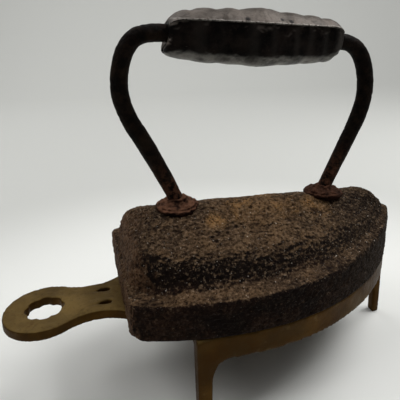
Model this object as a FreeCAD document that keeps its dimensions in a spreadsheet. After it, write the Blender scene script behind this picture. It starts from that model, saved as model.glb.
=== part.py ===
"""Cast-iron sad iron with a wrought handle, standing on its brass trivet.

Frame: +X runs from the heel to the toe, +Z is up, and the origin is on the
floor under the middle of the whole object. Sizes are in millimetres.
"""
import FreeCAD, Part
import math
import os

import Sketcher

Vector = FreeCAD.Vector
DOC = FreeCAD.newDocument("sad_iron_on_trivet")
SHEET = DOC.addObject("Spreadsheet::Sheet", "dims")

# Driving dimensions. Plan positions named "_from_heel" are measured along +X
# from the iron's heel; heights named "_above_sole" from the iron's sole.
DIMENSIONS = {
    "iron_length": 172.6, "handle_reach": 57, "trivet_height": 52,
    "heel_half": 42, "iron_half": 56.4, "widest_from_heel": 65, "toe_radius": 5,
    "slab_thick": 18.4, "slab_toe_thick": 25.4, "ledge_level_from_heel": 48,
    "foot_heel_inset": 2.5, "foot_heel_half": 33, "foot_half": 47.5, "foot_toe_inset": 4.5,
    "hump_toe_radius": 10,
    "brow_heel_inset": 8, "brow_heel_half": 28, "brow_half": 33, "brow_toe_inset": 7.6,
    "brow_above_sole": 32.2, "brow_drop_deg": 1.6,
    "ridge_heel_inset": 17, "ridge_heel_half": 4, "ridge_half": 6, "ridge_toe_inset": 15,
    "ridge_toe_radius": 3, "ridge_above_sole": 44.1, "ridge_drop_deg": 2.6,
    "rod_radius": 4.5, "socket_gap": 0.05, "socket_depth": 20,
    "rear_foot_from_heel": 35.5, "rear_foot_above_sole": 41.6,
    "rear_knee_from_heel": 5.4, "rear_knee_above_sole": 106.1,
    "rear_corner_from_heel": 14.4, "rear_knee_bend": 27.5, "rear_corner_bend": 15,
    "front_foot_from_heel": 120.4, "front_foot_above_sole": 37.8,
    "front_knee_from_heel": 151.3, "front_knee_above_sole": 98.8,
    "front_corner_from_heel": 141.5, "front_knee_bend": 30, "front_corner_bend": 9,
    "bar_rear_above_sole": 135.7, "bar_front_above_sole": 130.6,
    "collar_foot_radius": 12, "collar_top_radius": 9.8, "collar_tall": 5.8, "collar_sink": 5,
    "collar_shift": 2.7,
    "grip_length": 98.4, "grip_rear_from_heel": 30.2, "grip_wall": 4.5, "grip_end_wall": 6,
    "grip_mouth_radius": 9, "grip_split_height": 7, "grip_middle_radius": 15.3,
    "grip_inner_radius": 14.1, "grip_outer_radius": 13.3, "grip_end_radius": 11.6,
    "middle_swell": 23.6, "inner_swell": 13.7, "outer_swell": 13.2, "valley_depth": 1.1,
    "plate_thick": 5, "rim_deep": 12, "rim_inset": 1, "rim_wall": 4.5,
    "rear_leg_from_heel": 27.9, "leg_wide": 7.5, "leg_thick": 7, "leg_foot_wide": 6,
    "leg_gusset": 9, "toe_leg_from_heel": 165.5, "toe_leg_wide": 5.5, "toe_leg_thick": 6,
    "head_radius": 19.5, "neck_half": 13.3, "neck_from_heel": -14, "neck_bend": 25,
    "shoulder_deg": 45, "handle_root": 4,
    "hole_centre_radius": 6.5, "lobe_radius": 3.6, "lobe_pitch_radius": 5.7, "lobe_count": 8,
    "slot_start_from_heel": -18, "slot_end_from_heel": -5, "slot_offset": 6.1, "slot_wide": 3.6,
    "grid_inner_width": 15, "grid_outer_width": 13, "grid_bar": 6.5,
    "grid_inner_start": 40, "grid_inner_end": 138, "grid_outer_start": 42, "grid_outer_end": 108,
}


def fill_sheet():
    """Enter each driving dimension as plain text with its alias, then the worked-out ones."""
    worked_out = {
        "heel_x": "=-(iron_length - handle_reach) / 2",
        "grip_tilt_deg": "=(bar_rear_above_sole - bar_front_above_sole)"
                         " / (front_corner_from_heel - rear_corner_from_heel) * 57.3",
    }
    entries = list(DIMENSIONS.items()) + list(worked_out.items())
    for row, (name, value) in enumerate(entries, start=1):
        SHEET.set(f"A{row}", name)
        SHEET.set(f"B{row}", str(value))
        SHEET.setAlias(f"B{row}", name)
    DOC.recompute()


def dim(name):
    """A sheet cell's value."""
    return float(SHEET.get(name))


def plane(body, role):
    """One of a body's own origin planes or axes."""
    return next(item for item in body.Origin.OriginFeatures if item.Role == role)


def new_body(name):
    body = DOC.addObject("PartDesign::Body", name)
    body.Label = name
    return body


def new_sketch(body, name, role="XY_Plane", offset=None, drop=0):
    """A sketch on an origin plane, lifted along its normal by an expression, its toe dropped."""
    sketch = body.newObject("Sketcher::SketchObject", name)
    sketch.AttachmentSupport = [(plane(body, role), "")]
    sketch.MapMode = "FlatFace"
    if drop:
        turn = FreeCAD.Rotation(Vector(0, 1, 0), drop)
        sketch.AttachmentOffset = FreeCAD.Placement(Vector(0, 0, 0), turn)
    if offset:
        sketch.setExpression("AttachmentOffset.Base.z", offset)
    return sketch


def constrain(sketch, name, expression, *definition):
    """Add a named dimension to a sketch and bind it to the sheet."""
    index = sketch.addConstraint(Sketcher.Constraint(*definition))
    sketch.renameConstraint(index, name)
    sketch.setExpression(f"Constraints.{name}", expression)


def line(sketch, start, end):
    return sketch.addGeometry(Part.LineSegment(Vector(*start, 0), Vector(*end, 0)), False)


def arc_through(sketch, start, middle, end):
    """A circular arc by three points, drawn anticlockwise."""
    arc = Part.Arc(Vector(*start, 0), Vector(*middle, 0), Vector(*end, 0))
    return sketch.addGeometry(arc, False)


def polygon(sketch, points):
    """Closed straight outline, each corner pinned to its place by two bound distances."""
    count = len(points)
    values = [(read(x), read(y)) for x, y in points]
    first = [line(sketch, values[i], values[(i + 1) % count]) for i in range(count)][0]
    for i in range(count):
        following = first + (i + 1) % count
        sketch.addConstraint(Sketcher.Constraint("Coincident", first + i, 2, following, 1))
    for i, (x, y) in enumerate(points):
        pin(sketch, f"corner_{first}_{i}", first + i, 1, x, y)
    return first


def read(expression):
    """Value of a sheet expression, worked out with the sheet's own numbers."""
    SHEET.set("D1", "=" + expression.replace("dims.", ""))
    SHEET.recompute()
    return float(SHEET.get("D1"))


def pin(sketch, name, geometry, point, x, y):
    """Hold a point at the place given by two sheet expressions."""
    for axis, expression in (("X", x), ("Y", y)):
        if expression == "0":
            other = -2 if axis == "X" else -1
            sketch.addConstraint(Sketcher.Constraint("PointOnObject", geometry, point, other))
            continue
        definition = (f"Distance{axis}", -1, 1, geometry, point, read(expression))
        constrain(sketch, f"{name}_{axis.lower()}", expression, *definition)


def iron_plan(sketch, heel, heel_half, half, toe, toe_radius):
    """Flat-iron plan: straight heel, two long arcs a side that meet at the widest place, round toe."""
    widest = "dims.heel_x + dims.widest_from_heel"
    x0, x1, x2 = read(heel), read(widest), read(toe)
    y0, y1, nose = read(heel_half), read(half), read(toe_radius)
    reach = x2 - nose - x1
    front = (reach ** 2 + y1 ** 2 - nose ** 2) / (2 * (y1 - nose))
    rear = ((x1 - x0) ** 2 + (y1 - y0) ** 2) / (2 * (y1 - y0))
    lean = math.atan2(front - y1, reach)
    touch = (x2 - nose + nose * math.cos(lean), nose * math.sin(lean))
    swing = (math.pi / 2 + lean) / 2
    middle = (x1 + front * math.cos(swing), y1 - front + front * math.sin(swing))
    back = (x1 + x0) / 2
    back_y = y1 - rear + math.sqrt(rear ** 2 - (x1 - back) ** 2)
    heel_line = line(sketch, (x0, y0), (x0, -y0))
    arc_through(sketch, (x0, -y0), (back, -back_y), (x1, -y1))
    arc_through(sketch, (x1, -y1), (middle[0], -middle[1]), (touch[0], -touch[1]))
    arc_through(sketch, (touch[0], -touch[1]), (x2, 0), touch)
    arc_through(sketch, touch, middle, (x1, y1))
    arc_through(sketch, (x1, y1), (back, back_y), (x0, y0))
    rear_right, front_right, toe_arc, front_left, rear_left = (heel_line + i for i in range(1, 6))
    loop = [rear_right, front_right, toe_arc, front_left, rear_left]
    sketch.addConstraint(Sketcher.Constraint("Coincident", heel_line, 2, rear_right, 1))
    sketch.addConstraint(Sketcher.Constraint("Coincident", rear_left, 2, heel_line, 1))
    sketch.addConstraint(Sketcher.Constraint("Coincident", rear_right, 2, front_right, 1))
    sketch.addConstraint(Sketcher.Constraint("Coincident", front_left, 2, rear_left, 1))
    sketch.addConstraint(Sketcher.Constraint("Tangent", front_right, 2, toe_arc, 1))
    sketch.addConstraint(Sketcher.Constraint("Tangent", toe_arc, 2, front_left, 1))
    tag = f"plan_{heel_line}"
    pin(sketch, f"{tag}_heel_left", heel_line, 1, heel, heel_half)
    pin(sketch, f"{tag}_heel_right", heel_line, 2, heel, f"-({heel_half})")
    pin(sketch, f"{tag}_wide_left", rear_left, 1, widest, half)
    pin(sketch, f"{tag}_wide_right", front_right, 1, widest, f"-({half})")
    for geometry in loop:
        if geometry != toe_arc:
            definition = ("DistanceX", -1, 1, geometry, 3, x1)
            constrain(sketch, f"{tag}_centre_{geometry}", widest, *definition)
    pin(sketch, f"{tag}_toe", toe_arc, 3, f"({toe}) - ({toe_radius})", "0")
    constrain(sketch, f"{tag}_toe_radius", toe_radius, "Radius", toe_arc, nose)


def pad(body, sketch, name, expression, reverse=False, both_ways=False):
    feature = body.newObject("PartDesign::Pad", name)
    feature.Profile = sketch
    feature.setExpression("Length", expression)
    feature.Reversed = reverse
    feature.Midplane = both_ways
    DOC.recompute()
    return feature


def pocket(body, sketch, name, expression, reverse=False, both_ways=False):
    """Cut a sketch out of the body, and stop if the cut took nothing away."""
    before = body.Shape.Volume
    feature = body.newObject("PartDesign::Pocket", name)
    feature.Profile = sketch
    feature.setExpression("Length", expression)
    feature.Reversed = reverse
    feature.Midplane = both_ways
    DOC.recompute()
    if body.Shape.Volume > before - 1:
        raise RuntimeError(f"{name} cuts nothing")
    return feature


def from_heel(name):
    return f"dims.heel_x + dims.{name}"


def above_sole(name):
    return f"dims.trivet_height + dims.{name}"


def height_above_sole(name):
    """Height over the floor of a sheet value that counts from the iron's sole."""
    return dim("trivet_height") + dim(name)


def post_angle(side):
    """Lean of a post from the vertical, positive towards the toe, in degrees."""
    run = dim(f"{side}_knee_from_heel") - dim(f"{side}_foot_from_heel")
    rise = dim(f"{side}_knee_above_sole") - dim(f"{side}_foot_above_sole")
    return math.degrees(math.atan2(run, rise))


def along_post(side, distance):
    """Placement on a post's centre line, +Z up the post, a distance above its foot point."""
    lean = math.radians(post_angle(side))
    x = dim("heel_x") + dim(f"{side}_foot_from_heel") + distance * math.sin(lean)
    z = height_above_sole(f"{side}_foot_above_sole") + distance * math.cos(lean)
    return FreeCAD.Placement(Vector(x, 0, z), FreeCAD.Rotation(Vector(0, 1, 0), post_angle(side)))


def boolean(kind, name, base, tool):
    feature = DOC.addObject(kind, name)
    feature.Label = name
    feature.Base = base
    feature.Tool = tool
    return feature


def post_cylinder(side, name, radius, height, start):
    """A cylinder on a post's centre line, bound to the sheet."""
    cylinder = DOC.addObject("Part::Cylinder", name)
    cylinder.setExpression("Radius", radius)
    cylinder.setExpression("Height", height)
    cylinder.Placement = along_post(side, start)
    return cylinder


def make_iron_body():
    """One casting: a slab whose ledge rises to the toe, a hump on it and two blind sockets."""
    toe = from_heel("iron_length")
    slab = new_body("slab")
    plan = new_sketch(slab, "slab_plan", offset="dims.trivet_height")
    iron_plan(plan, "dims.heel_x", "dims.heel_half", "dims.iron_half", toe, "dims.toe_radius")
    pad(slab, plan, "slab_pad", "dims.slab_toe_thick + 2")
    above_ledge = new_sketch(slab, "ledge_cut", role="XZ_Plane")
    heel, tip = dim("heel_x"), dim("heel_x") + dim("iron_length")
    level_end, level = heel + dim("ledge_level_from_heel"), height_above_sole("slab_thick")
    rise = dim("slab_toe_thick") - dim("slab_thick")
    bend = ((tip - level_end) ** 2 + rise**2) / (2 * rise)
    half_turn = math.atan2(tip - level_end, bend - rise) / 2
    middle = (level_end + bend * math.sin(half_turn), level + bend * (1 - math.cos(half_turn)))
    top = level + rise + 10
    corners = [(tip, level + rise), (tip + 5, level + rise), (tip + 5, top), (heel - 5, top),
               (heel - 5, level), (level_end, level)]
    arc_through(above_ledge, (level_end, level), middle, (tip, level + rise))
    for start, end in zip(corners, corners[1:]):
        line(above_ledge, start, end)
    pocket(slab, above_ledge, "ledge", "dims.iron_half * 3", both_ways=True)
    hump = new_body("hump")
    foot = new_sketch(hump, "hump_foot", offset="dims.trivet_height + dims.slab_thick - 1")
    iron_plan(foot, from_heel("foot_heel_inset"), "dims.foot_heel_half", "dims.foot_half",
              f"{toe} - dims.foot_toe_inset", "dims.hump_toe_radius")
    sections = []
    for level, toe_radius in (("brow", "dims.hump_toe_radius"), ("ridge", "dims.ridge_toe_radius")):
        section = new_sketch(hump, f"hump_{level}", offset=above_sole(f"{level}_above_sole"),
                             drop=dim(f"{level}_drop_deg"))
        iron_plan(section, from_heel(f"{level}_heel_inset"), f"dims.{level}_heel_half",
                  f"dims.{level}_half", f"{toe} - dims.{level}_toe_inset", toe_radius)
        sections.append(section)
    sides = hump.newObject("PartDesign::AdditiveLoft", "hump_sides")
    sides.Profile = foot
    sides.Sections = sections
    sides.Ruled = True
    casting = boolean("Part::Fuse", "casting", slab, hump)
    drilled = casting
    for side in ("rear", "front"):
        socket = post_cylinder(side, f"{side}_socket", "dims.rod_radius + dims.socket_gap",
                               "dims.socket_depth + 30", -dim("socket_depth"))
        drilled = boolean("Part::Cut", f"{side}_socket_cut", drilled, socket)
    drilled.Label = "iron_body"
    DOC.recompute()
    return casting, drilled


def make_handle_rod():
    """Round wrought bar: two leaning posts, a knee and a corner each, and a bar for the grip."""
    body = new_body("handle_rod")
    route = new_sketch(body, "rod_route", role="XZ_Plane")
    corners = []
    for side in ("rear", "front"):
        foot = along_post(side, 1 - dim("socket_depth")).Base
        knee_x = dim("heel_x") + dim(f"{side}_knee_from_heel")
        corner_x = dim("heel_x") + dim(f"{side}_corner_from_heel")
        corners.append([(foot.x, foot.z),
                        (knee_x, height_above_sole(f"{side}_knee_above_sole")),
                        (corner_x, height_above_sole(f"bar_{side}_above_sole"))])
    points = [Vector(x, z, 0) for x, z in corners[0] + corners[1][::-1]]
    bends = ["rear_knee_bend", "rear_corner_bend", "front_corner_bend", "front_knee_bend"]
    run_start, last_run = points[0], None
    for i, bend in enumerate(bends, start=1):
        corner, radius = points[i], dim(bend)
        back = (points[i - 1] - corner).normalize()
        ahead = (points[i + 1] - corner).normalize()
        half = back.getAngle(ahead) / 2
        enter = corner + back * (radius / math.tan(half))
        leave = corner + ahead * (radius / math.tan(half))
        centre = corner + (back + ahead).normalize() * (radius / math.sin(half))
        run = line(route, (run_start.x, run_start.y), (enter.x, enter.y))
        circle = Part.Circle(centre, Vector(0, 0, 1), radius)
        swing = [math.atan2(point.y - centre.y, point.x - centre.x) for point in (leave, enter)]
        if swing[1] < swing[0]:
            swing[1] += 2 * math.pi
        knee = route.addGeometry(Part.ArcOfCircle(circle, swing[0], swing[1]), False)
        if last_run is not None:
            route.addConstraint(Sketcher.Constraint("Tangent", last_run, 1, run, 1))
        route.addConstraint(Sketcher.Constraint("Tangent", run, 2, knee, 2))
        constrain(route, bend, f"dims.{bend}", "Radius", knee, radius)
        run_start, last_run = leave, knee
    run = line(route, (run_start.x, run_start.y), (points[-1].x, points[-1].y))
    route.addConstraint(Sketcher.Constraint("Tangent", last_run, 1, run, 1))
    section = new_sketch(body, "rod_section", role="XY_Plane")
    section.AttachmentOffset = along_post("rear", 1 - dim("socket_depth"))
    round_bar = section.addGeometry(Part.Circle(Vector(0, 0, 0), Vector(0, 0, 1), 4), False)
    section.addConstraint(Sketcher.Constraint("Coincident", round_bar, 3, -1, 1))
    constrain(section, "bar_radius", "dims.rod_radius", "Radius", round_bar, 4)
    DOC.recompute()
    pipe = body.newObject("PartDesign::AdditivePipe", "rod_pipe")
    pipe.Profile = section
    pipe.Spine = (route, [])
    pipe.Mode = "Standard"
    DOC.recompute()
    length = route.Shape.Length
    if abs(body.Shape.Volume / (math.pi * dim("rod_radius") ** 2 * length) - 1) > 0.01:
        raise RuntimeError("the rod's volume isn't its section times its length")
    return body


def make_collar(side, casting):
    """Forged collar: a flat cone lying round the foot of a post, bedded on the crowned casting."""
    blank = DOC.addObject("Part::Cone", f"{side}_collar_blank")
    blank.setExpression("Radius1", "dims.collar_foot_radius")
    blank.setExpression("Radius2", "dims.collar_top_radius")
    blank.setExpression("Height", "dims.collar_tall + dims.collar_sink")
    shift = math.copysign(dim("collar_shift"), post_angle(side))
    seat = along_post(side, 0).Base + Vector(shift, 0, -dim("collar_sink"))
    blank.Placement = FreeCAD.Placement(seat, FreeCAD.Rotation(Vector(0, 1, 0), dim("ridge_drop_deg")))
    bore = post_cylinder(side, f"{side}_collar_bore", "dims.rod_radius + dims.socket_gap",
                         "dims.collar_tall * 4", -dim("collar_tall") * 2)
    ring = boolean("Part::Cut", f"{side}_collar_ring", blank, bore)
    collar = boolean("Part::Cut", f"{side}_post_collar", ring, casting)
    return collar


def make_grip():
    """Hollow cast grip of seven swells round the bar, split along its length into two shells."""
    casting = new_body("grip_casting")
    profile = new_sketch(casting, "grip_profile", role="XZ_Plane")
    widths = ["outer_swell", "outer_swell", "inner_swell"]
    radii = ["grip_end_radius", "grip_outer_radius", "grip_inner_radius"]
    spare = dim("grip_length") - dim("middle_swell")
    scale = spare / (2 * sum(dim(width) for width in widths))
    swells = [(dim(width) * scale, dim(radius)) for width, radius in zip(widths, radii)]
    swells = swells + [(dim("middle_swell"), dim("grip_middle_radius"))] + swells[::-1]
    mouth = dim("grip_mouth_radius")
    bore = dim("rod_radius") + dim("socket_gap")
    x, valley = 0.0, mouth
    arcs = []
    for index, (width, radius) in enumerate(swells):
        last = index == len(swells) - 1
        next_radius = mouth if last else min(radius, swells[index + 1][1]) - dim("valley_depth")
        arcs.append(((x, valley), (x + width / 2, radius), (x + width, next_radius)))
        x, valley = x + width, next_radius
    for start, middle, end in arcs:
        arc_through(profile, start, middle, end)
    length, wall, end_wall = x, dim("grip_wall"), dim("grip_end_wall")
    cavity = min(radius for width, radius in swells) - wall
    inner = [(length, mouth), (length, bore), (length - end_wall, bore),
             (length - end_wall, cavity), (end_wall, cavity), (end_wall, bore), (0, bore), (0, mouth)]
    for start, end in zip(inner, inner[1:]):
        line(profile, start, end)
    DOC.recompute()
    turned = casting.newObject("PartDesign::Revolution", "grip_turned")
    turned.Profile = profile
    turned.ReferenceAxis = (plane(casting, "X_Axis"), "")
    turned.Angle = 360
    DOC.recompute()
    tilt = dim("grip_tilt_deg")
    rear_x = dim("heel_x") + dim("grip_rear_from_heel")
    run = dim("grip_rear_from_heel") - dim("rear_corner_from_heel")
    rear_z = height_above_sole("bar_rear_above_sole") - run * math.tan(math.radians(tilt))
    place = FreeCAD.Placement(Vector(rear_x, 0, rear_z), FreeCAD.Rotation(Vector(0, 1, 0), tilt))
    casting.Placement = place
    cover = DOC.addObject("Part::Box", "grip_cover_block")
    cover.setExpression("Length", "dims.grip_length + 20")
    cover.setExpression("Width", "dims.grip_middle_radius * 4")
    cover.setExpression("Height", "dims.grip_middle_radius")
    corner = Vector(-10, -2 * dim("grip_middle_radius"), dim("grip_split_height"))
    cover.Placement = place.multiply(FreeCAD.Placement(corner, FreeCAD.Rotation()))
    upper = boolean("Part::Common", "grip_upper_shell", casting, cover)
    lower = boolean("Part::Cut", "grip_lower_shell", casting, cover)
    return upper, lower


def arc_about(sketch, centre, radius_name, start_deg, end_deg):
    """A circular arc round a centre, anticlockwise, its radius bound to the sheet."""
    circle = Part.Circle(Vector(*centre, 0), Vector(0, 0, 1), dim(radius_name))
    arc = Part.ArcOfCircle(circle, math.radians(start_deg), math.radians(end_deg))
    index = sketch.addGeometry(arc, False)
    constrain(sketch, f"bend_{index}", f"dims.{radius_name}", "Radius", index, dim(radius_name))
    return index


def handle_plan(sketch):
    """Trivet handle: round head, hollow-curved neck and straight shoulders out to the rear legs."""
    head_x = dim("heel_x") - dim("handle_reach") + dim("head_radius")
    neck_x = dim("heel_x") + dim("neck_from_heel")
    bend, shoulder = dim("neck_bend"), dim("shoulder_deg")
    neck_y = math.sqrt((dim("head_radius") + bend) ** 2 - (neck_x - head_x) ** 2)
    lean = math.degrees(math.atan2(neck_y, neck_x - head_x))
    turn = math.radians(shoulder)
    start_x, start_y = neck_x + bend * math.cos(turn), neck_y - bend * math.sin(turn)
    root = dim("heel_x") + dim("rear_leg_from_heel") + dim("handle_root")
    edge_y = start_y + (root - start_x) / math.tan(turn)
    head = arc_about(sketch, (head_x, 0), "head_radius", lean, 360 - lean)
    right_neck = arc_about(sketch, (neck_x, -neck_y), "neck_bend", shoulder, 180 - lean)
    right_edge = line(sketch, (start_x, -start_y), (root, -edge_y))
    back = line(sketch, (root, -edge_y), (root, edge_y))
    left_edge = line(sketch, (root, edge_y), (start_x, start_y))
    left_neck = arc_about(sketch, (neck_x, neck_y), "neck_bend", 180 + lean, 360 - shoulder)
    joints = [("Tangent", head, 2, right_neck, 2), ("Tangent", right_neck, 1, right_edge, 1),
              ("Coincident", right_edge, 2, back, 1), ("Coincident", back, 2, left_edge, 1),
              ("Tangent", left_edge, 2, left_neck, 2), ("Tangent", left_neck, 1, head, 1)]
    for joint in joints:
        sketch.addConstraint(Sketcher.Constraint(*joint))
    sketch.addConstraint(Sketcher.Constraint("Vertical", back))
    sketch.addConstraint(Sketcher.Constraint("PointOnObject", head, 3, -1))


def slot_loop(sketch, start, end, offset, width):
    """A lengthwise slot with round ends, its two end centres and width bound to the sheet."""
    x0, x1, y, r = read(start), read(end), read(offset), read(width) / 2
    first = line(sketch, (x0, y + r), (x1, y + r))
    second = line(sketch, (x1, y - r), (x0, y - r))
    rear = arc_through(sketch, (x0, y + r), (x0 - r, y), (x0, y - r))
    front = arc_through(sketch, (x1, y - r), (x1 + r, y), (x1, y + r))
    joints = [(first, 1, rear, 1), (rear, 2, second, 2), (second, 1, front, 1), (front, 2, first, 2)]
    for joint in joints:
        sketch.addConstraint(Sketcher.Constraint("Tangent", *joint))
    pin(sketch, f"slot_{first}_rear", rear, 3, start, offset)
    definition = ("DistanceX", -1, 1, front, 3, x1)
    constrain(sketch, f"slot_{first}_front", end, *definition)
    sketch.addConstraint(Sketcher.Constraint("Horizontal", first))
    constrain(sketch, f"slot_{first}_width", f"({width}) / 2", "Radius", rear, r)


def make_trivet():
    """One brass casting: barred plate, deep rim, three legs and a paddle handle to hang it by."""
    body = new_body("trivet")
    top = "dims.trivet_height"
    toe = f"{from_heel('iron_length')} - dims.rim_inset"
    heel = from_heel("rear_leg_from_heel")
    block = new_sketch(body, "plate_plan", offset=top)
    iron_plan(block, heel, "dims.iron_half - dims.rim_inset - 3.9",
              "dims.iron_half - dims.rim_inset", toe, "dims.toe_radius")
    pad(body, block, "plate_block", "dims.rim_deep", reverse=True)
    hollow = new_sketch(body, "rim_hollow", offset=f"{top} - dims.rim_deep")
    iron_plan(hollow, f"{heel} - 5", "dims.iron_half - dims.rim_inset - dims.rim_wall - 4.5",
              "dims.iron_half - dims.rim_inset - dims.rim_wall",
              f"{toe} - dims.rim_wall - 1", "dims.toe_radius")
    pocket(body, hollow, "rim_hollow_cut", "dims.rim_deep - dims.plate_thick", reverse=True)
    paddle = new_sketch(body, "handle_plan", offset=top)
    handle_plan(paddle)
    pad(body, paddle, "handle_pad", "dims.plate_thick", reverse=True)
    leg = new_sketch(body, "rear_leg_side", role="XZ_Plane",
                     offset="-(dims.iron_half - dims.rim_inset - 2.5)")
    underside = f"{top} - dims.rim_deep"
    front = f"{heel} + dims.leg_wide"
    polygon(leg, [(heel, f"{top} - 1"), (f"{heel} + 0.5", "0"),
                  (f"{heel} + 0.5 + dims.leg_foot_wide", "0"),
                  (front, f"{underside} - dims.leg_gusset"),
                  (f"{front} + dims.leg_gusset * 0.3", f"{underside} - dims.leg_gusset * 0.3"),
                  (f"{front} + dims.leg_gusset", underside), (f"{front} + dims.leg_gusset", f"{top} - 1")])
    pad(body, leg, "left_rear_leg", "dims.leg_thick")
    mirror = body.newObject("PartDesign::Mirrored", "right_rear_leg")
    mirror.Originals = [body.Tip]
    mirror.MirrorPlane = (plane(body, "XZ_Plane"), "")
    body.Tip = mirror
    toe_leg = new_sketch(body, "toe_leg_side", role="XZ_Plane")
    toe_rear = from_heel("toe_leg_from_heel")
    polygon(toe_leg, [(toe_rear, f"{top} - 1"), (f"{toe_rear} + 0.7", "0"),
                      (f"{toe_rear} + dims.toe_leg_wide", "0"),
                      (f"{toe_rear} + dims.toe_leg_wide", f"{top} - 1")])
    pad(body, toe_leg, "toe_leg", "dims.toe_leg_thick", both_ways=True)
    grid = new_sketch(body, "grid_slots", offset=top)
    inner = "(dims.grid_bar + dims.grid_inner_width) / 2"
    outer = "dims.grid_bar * 1.5 + dims.grid_inner_width + dims.grid_outer_width / 2"
    for sign in ("", "-"):
        slot_loop(grid, f"{from_heel('grid_inner_start')}", from_heel("grid_inner_end"),
                  f"{sign}({inner})", "dims.grid_inner_width")
        slot_loop(grid, from_heel("grid_outer_start"), from_heel("grid_outer_end"),
                  f"{sign}({outer})", "dims.grid_outer_width")
    pocket(body, grid, "grid_cut", "dims.plate_thick * 1.2")
    slots = new_sketch(body, "handle_slots", offset=top)
    for sign in ("", "-"):
        polygon(slots, [(from_heel("slot_start_from_heel"), f"{sign}dims.slot_offset"),
                        (from_heel("slot_end_from_heel"), f"{sign}(dims.slot_offset - dims.slot_wide / 2)"),
                        (from_heel("slot_end_from_heel"), f"{sign}(dims.slot_offset + dims.slot_wide / 2)")])
    pocket(body, slots, "handle_slot_cut", "dims.plate_thick * 1.2")
    hole_x = "dims.heel_x - dims.handle_reach + dims.head_radius"
    for name, radius, offset in (("hole_centre", "dims.hole_centre_radius", "0"),
                                 ("hole_lobe", "dims.lobe_radius", "dims.lobe_pitch_radius")):
        sketch = new_sketch(body, f"{name}_plan", offset=top)
        sketch.setExpression("AttachmentOffset.Base.x", hole_x)
        ring = sketch.addGeometry(Part.Circle(Vector(read(offset), 0, 0), Vector(0, 0, 1), 3), False)
        pin(sketch, name, ring, 3, offset, "0")
        constrain(sketch, f"{name}_radius", radius, "Radius", ring, read(radius))
        cut = pocket(body, sketch, f"{name}_cut", "dims.plate_thick * 1.2")
    lobes = body.newObject("PartDesign::PolarPattern", "hole_lobes")
    lobes.Originals = [cut]
    lobes.Axis = (sketch, ["N_Axis"])
    lobes.Angle = 360
    lobes.setExpression("Occurrences", "dims.lobe_count")
    body.Tip = lobes
    DOC.recompute()
    return body


def check_and_write(subparts):
    """Stop on any failed object or bad shape, then write one STEP file for each sub-part."""
    DOC.recompute()
    for item in DOC.Objects:
        if "Invalid" in item.State or "Error" in item.State:
            raise RuntimeError(f"{item.Name} failed: {item.State}")
    os.makedirs("parts", exist_ok=True)
    for part in subparts:
        shape = part.Shape
        if shape.isNull() or not shape.isValid() or len(shape.Solids) != 1:
            raise RuntimeError(f"{part.Label} has a bad shape")
        box = shape.BoundBox
        print(f"{part.Label}: {shape.Volume / 1000:.1f} cm3, x {box.XMin:.1f} to {box.XMax:.1f},"
              f" y {box.YMin:.1f} to {box.YMax:.1f}, z {box.ZMin:.1f} to {box.ZMax:.1f}")
        shape.exportStep(f"parts/{part.Label}.step")


fill_sheet()
plain_casting, iron_body = make_iron_body()
handle_rod = make_handle_rod()
rear_collar = make_collar("rear", plain_casting)
front_collar = make_collar("front", plain_casting)
upper_shell, lower_shell = make_grip()
trivet = make_trivet()
check_and_write([iron_body, handle_rod, rear_collar, front_collar, upper_shell, lower_shell, trivet])
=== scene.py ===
import math

import bmesh
import bpy
import numpy as np
from mathutils import Matrix, Vector


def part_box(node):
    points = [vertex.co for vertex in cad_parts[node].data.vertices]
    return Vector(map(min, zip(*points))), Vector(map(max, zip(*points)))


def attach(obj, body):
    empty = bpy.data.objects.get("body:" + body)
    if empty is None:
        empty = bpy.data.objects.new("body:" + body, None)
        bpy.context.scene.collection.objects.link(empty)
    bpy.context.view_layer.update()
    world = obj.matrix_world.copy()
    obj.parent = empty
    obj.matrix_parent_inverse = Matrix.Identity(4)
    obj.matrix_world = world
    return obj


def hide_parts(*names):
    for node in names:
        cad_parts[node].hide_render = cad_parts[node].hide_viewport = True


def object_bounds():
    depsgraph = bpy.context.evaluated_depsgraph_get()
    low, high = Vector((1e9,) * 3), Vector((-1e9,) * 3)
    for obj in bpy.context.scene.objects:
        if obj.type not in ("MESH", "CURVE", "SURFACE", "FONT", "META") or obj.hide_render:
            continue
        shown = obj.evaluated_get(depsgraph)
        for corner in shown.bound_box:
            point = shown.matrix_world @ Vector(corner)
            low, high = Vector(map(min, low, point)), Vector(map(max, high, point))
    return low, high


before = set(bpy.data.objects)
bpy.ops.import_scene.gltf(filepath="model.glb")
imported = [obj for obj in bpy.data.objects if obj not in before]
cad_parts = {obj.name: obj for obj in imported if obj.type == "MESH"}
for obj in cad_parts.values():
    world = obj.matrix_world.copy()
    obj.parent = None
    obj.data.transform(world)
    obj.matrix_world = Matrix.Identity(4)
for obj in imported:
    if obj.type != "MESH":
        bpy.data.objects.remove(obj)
cad_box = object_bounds()

# ---------------------------------------------------------------- trivet
# The stand is one sand casting in yellow brass: a barred plate with a deep rim,
# three legs and a paddle handle. Fettling left every edge softly rounded, and
# years on a stove turned it olive on top and golden brown where hands rub it.

MM = 0.001
MERGE_DISTANCE = 1e-6
BOX_MARGIN = 1e-5


def feed(tree, entry, value):
    """Link an input to a socket, or give it a plain value."""
    if isinstance(value, bpy.types.NodeSocket):
        tree.links.new(value, entry)
    else:
        entry.default_value = value


def node(tree, kind, inputs=(), **settings):
    """A new node with its settings and its inputs, each a value or a socket to link."""
    made = tree.nodes.new(kind)
    for name, value in settings.items():
        setattr(made, name, value)
    for name, value in dict(inputs).items():
        feed(tree, made.inputs[name], value)
    return made


def noise(tree, place, size, detail, roughness, seed):
    """Noise with features about size metres across; returns its value socket."""
    inputs = {"Vector": place, "W": seed, "Scale": 1 / size, "Detail": detail,
              "Roughness": roughness}
    return node(tree, "ShaderNodeTexNoise", inputs, noise_dimensions="4D").outputs[0]


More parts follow.
